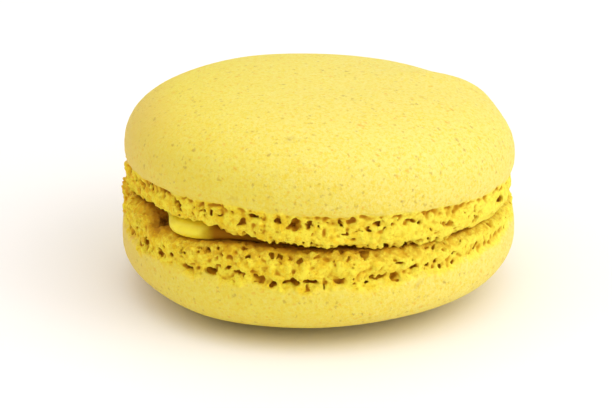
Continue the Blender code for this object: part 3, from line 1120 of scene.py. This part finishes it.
def crumb_colour(nodes, place, painted_sheen, left):
    """Yellow crumb, flecked with brown, paler with painted sheen on the right, with painted shade in
    orange streaks at the left, in its holes, towards the flat end and in its pit.
    """
    fleck = nodes.times(nodes.patches(place, *FLECKS), FLECK_STRENGTH)
    crumb = nodes.mix(nodes.patches(place, *CRUMB_PATCHES), CRUMB_PALE, CRUMB_DEEP)
    # painted sheen on the crumb
    crumb = nodes.mix(nodes.times(painted_sheen, CRUMB_SHEEN_STRENGTH), crumb, CRUMB_SHEEN)
    crumb = nodes.mix(fleck, crumb, FLECK_AND_SHADE_BROWN)
    # painted shade in orange streaks on the left side's crumb
    crumb = nodes.mix(nodes.times(nodes.patches(place, *STREAKS), left), crumb, CRUMB_SHADE_ORANGE)
    crumb = nodes.mix(nodes.attribute("smear"), crumb, CREAM_PALE)
    # painted shade in holes and hollows, by how closed in the crumb is
    closed_in = nodes.attribute("closed_in")
    crumb = nodes.mix(nodes.ramp(closed_in, *HOLLOW_SHADE_CLOSENESS), crumb, FLECK_AND_SHADE_BROWN)
    crumb = nodes.mix(nodes.ramp(closed_in, *HOLE_CLOSENESS), crumb, HOLE_SHADE_BROWN)
    # painted shade towards the flat end, in the gap between the feet, and in the pit
    uneven = nodes.ramp(nodes.noise(place, 1300.0, 3.0, 0.6), 0.35, 0.65, -0.15, 0.15)
    shade = nodes.math("ADD", nodes.attribute("shade"), uneven)
    crumb = nodes.mix(nodes.ramp(shade, *GAP_SHADE, 0.0, GAP_SHADE_STRENGTH), crumb, FLECK_AND_SHADE_BROWN)
    crumb = nodes.mix(nodes.ramp(shade, *MOUTH_SHADE), crumb, MOUTH_SHADE_BROWN)
    return nodes.mix(nodes.ramp(shade, *PIT_SHADE), crumb, PIT_SHADE_BROWN)


def shell_bump(nodes, place, crumb):
    """Fine ripples on the skin and grain on the crumb, with heights in metres."""
    ripple = nodes.times(nodes.noise(place, 1700.0, 3.0, 0.6), 0.00015)
    pebble = nodes.times(nodes.noise(place, 4200.0, 3.0, 0.7), 0.00014)
    heights = {"A": nodes.math("ADD", ripple, pebble)}
    heights["B"] = nodes.times(nodes.noise(place, 3400.0, 5.0, 0.8), 0.00020)
    height = nodes.node("ShaderNodeMix", {"Factor": crumb, **heights}, data_type="FLOAT").outputs["Result"]
    inputs = {"Height": height, "Strength": 0.8, "Distance": 1.0}
    return nodes.node("ShaderNodeBump", inputs).outputs["Normal"]


def make_material(name):
    """A new material, the calls that build its nodes, and its shader."""
    material = bpy.data.materials.new(name)
    material.use_nodes = True
    nodes = Nodes(material.node_tree)
    return material, nodes, material.node_tree.nodes["Principled BSDF"]


def shell_material():
    material, nodes, shader = make_material("almond_shell")
    place = nodes.node("ShaderNodeTexCoord").outputs["Object"]
    crumb = nodes.attribute("crumb")
    painted_sheen = nodes.attribute("painted_sheen")
    left = nodes.attribute("left")
    skin = skin_colour(nodes, place, painted_sheen, left)
    inputs = {
        "Base Color": nodes.mix(crumb, skin, crumb_colour(nodes, place, painted_sheen, left)),
        "Normal": shell_bump(nodes, place, crumb),
        "Roughness": nodes.ramp(crumb, 0.0, 1.0, 0.6, 0.85),
        "Specular IOR Level": nodes.ramp(crumb, 0.0, 1.0, 0.5, 0.15),
        "Subsurface Weight": 0.15,
        "Subsurface Radius": (1.0, 0.55, 0.12),
        "Subsurface Scale": 0.0005,
    }
    nodes.fill(shader, inputs)
    return material


def cream_material():
    """Glossy cream, dark and dull where it is in the shade between the feet."""
    material, nodes, shader = make_material("lemon_cream")
    place = nodes.node("ShaderNodeTexCoord").outputs["Object"]
    colour = nodes.mix(nodes.patches(place, *CREAM_CLOUDS), CREAM_PALE, CREAM_DEEP)
    streaks = nodes.times(nodes.noise(place, 800.0, 3.0, 0.6), 0.3)
    cream_shade = nodes.ramp(nodes.math("ADD", nodes.attribute("cream_shade"), streaks), 0.3, 1.0)
    ripple = nodes.times(nodes.noise(place, 900.0, 2.0, 0.5), 0.0001)
    bump = nodes.node("ShaderNodeBump", {"Height": ripple, "Strength": 0.5, "Distance": 1.0})
    inputs = {
        "Base Color": nodes.mix(cream_shade, colour, CREAM_DARK),
        "Normal": bump.outputs["Normal"],
        "Roughness": 0.42,
        "Specular IOR Level": nodes.ramp(cream_shade, 0.0, 0.6, 0.4, 0.02),
        "Subsurface Weight": 0.3,
        "Subsurface Radius": (1.0, 0.7, 0.1),
        "Subsurface Scale": 0.0010,
    }
    nodes.fill(shader, inputs)
    return material


# ---- the macaron


def add_piece(mesh, name, look, node):
    mesh.materials.append(look)
    piece = bpy.data.objects.new(name, mesh)
    bpy.context.scene.collection.objects.link(piece)
    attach(piece, "root")
    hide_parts(node)


def centre_shift(lower_shell):
    """The move that centres the lower shell's mesh on the CAD's lower shell."""
    cad_low, cad_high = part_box("bottom_shell")
    middle = (cad_low + cad_high) / 2.0
    corners = np.array([vertex.co for vertex in lower_shell.vertices])
    own_middle = (corners.min(0) + corners.max(0)) / 2.0 * MM
    return Matrix.Translation((middle.x - own_middle[0], middle.y - own_middle[1], 0.0))


def build_macaron():
    top = make_shell("upper_shell", TOP, TOP_PLACE, False)
    bottom = make_shell("lower_shell", BOTTOM, BOTTOM_PLACE, True)
    filling = make_filling()
    shift = centre_shift(bottom)
    for mesh in (top, bottom, filling):
        mesh.transform(shift @ Matrix.Scale(MM, 4))
    shell_look = shell_material()
    add_piece(top, "upper_shell", shell_look, "top_shell")
    add_piece(bottom, "lower_shell", shell_look, "bottom_shell")
    add_piece(filling, "cream_layer", cream_material(), "filling")


# ---- stage, lights, camera

CAMERA_DISTANCE = 0.45  # metres
CAMERA_LENS = 225.5  # millimetres
SENSOR_WIDTH = 36.0
CAMERA_RISE = 22.63  # degrees above the level
AIM_OFFSET = (-0.00139, 0.0, -0.00348)  # from the middle of the macaron's box

FLOOR_HALF = 2.0  # half the table's side, in metres
TABLE_WHITE = (0.955, 0.915, 0.885, 1.0)

LIGHTS = (
    # name, position and size in metres, watts
    ("key_high", (0.42, -0.06, 0.42), 0.40, 0.485),
    ("key_low", (0.50, -0.20, 0.22), 0.45, 0.64),
    ("key_front", (0.30, -0.35, 0.40), 0.45, 0.63),
    ("left_fill", (-0.50, -0.10, 0.35), 0.50, 0.26),
)
SKY_WHITE = (1.0, 1.0, 1.0, 1.0)
SKY_STRENGTH = 1.42  # straight up, falling to none low down
HORIZON_STRENGTH = 0.84  # of the narrow pale band behind the table's far edge
HORIZON_BAND = (0.04, 0.1)  # heights between which it fades


def build_stage():
    half = FLOOR_HALF
    corners = [(-half, -half, 0), (half, -half, 0), (half, half, 0), (-half, half, 0)]
    floor = bpy.data.meshes.new("floor")
    floor.from_pydata(corners, [], [(0, 1, 2, 3)])
    material, nodes, shader = make_material("white_table")
    nodes.fill(shader, {"Base Color": TABLE_WHITE, "Roughness": 0.6, "Specular IOR Level": 0.2})
    floor.materials.append(material)
    table = bpy.data.objects.new("floor", floor)
    bpy.context.scene.collection.objects.link(table)


def build_sky():
    world = bpy.data.worlds.new("studio")
    bpy.context.scene.world = world
    world.use_nodes = True
    nodes = Nodes(world.node_tree)
    direction = nodes.node("ShaderNodeTexCoord").outputs["Generated"]
    height = nodes.node("ShaderNodeSeparateXYZ", {0: direction}).outputs["Z"]
    sky = nodes.node("ShaderNodeMapRange", {"Value": height, "To Max": SKY_STRENGTH})
    band = nodes.ramp(height, *HORIZON_BAND, HORIZON_STRENGTH, 0.0)
    strength = nodes.math("MAXIMUM", sky.outputs["Result"], band)
    nodes.fill(world.node_tree.nodes["Background"], {"Color": SKY_WHITE, "Strength": strength})


def build_lights(middle):
    for name, position, size, watts in LIGHTS:
        lamp = bpy.data.lights.new(name, "AREA")
        lamp.shape = "DISK"
        lamp.size = size
        lamp.energy = watts
        light = bpy.data.objects.new(name, lamp)
        bpy.context.scene.collection.objects.link(light)
        light.location = position
        light.rotation_euler = (middle - light.location).to_track_quat("-Z", "Y").to_euler()


def build_camera(middle):
    lens = bpy.data.cameras.new("camera")
    lens.lens = CAMERA_LENS
    lens.sensor_width = SENSOR_WIDTH
    lens.clip_start = 0.01
    camera = bpy.data.objects.new("camera", lens)
    bpy.context.scene.collection.objects.link(camera)
    rise = math.radians(CAMERA_RISE)
    aim = middle + Vector(AIM_OFFSET)
    camera.location = aim + Vector((0.0, -math.cos(rise), math.sin(rise))) * CAMERA_DISTANCE
    camera.rotation_euler = (math.pi / 2.0 - rise, 0.0, 0.0)
    bpy.context.scene.camera = camera


low, high = cad_box
middle = (Vector(low) + Vector(high)) / 2.0
build_macaron()
build_stage()
build_sky()
build_lights(middle)
build_camera(middle)
bpy.context.scene.view_settings.view_transform = "Standard"
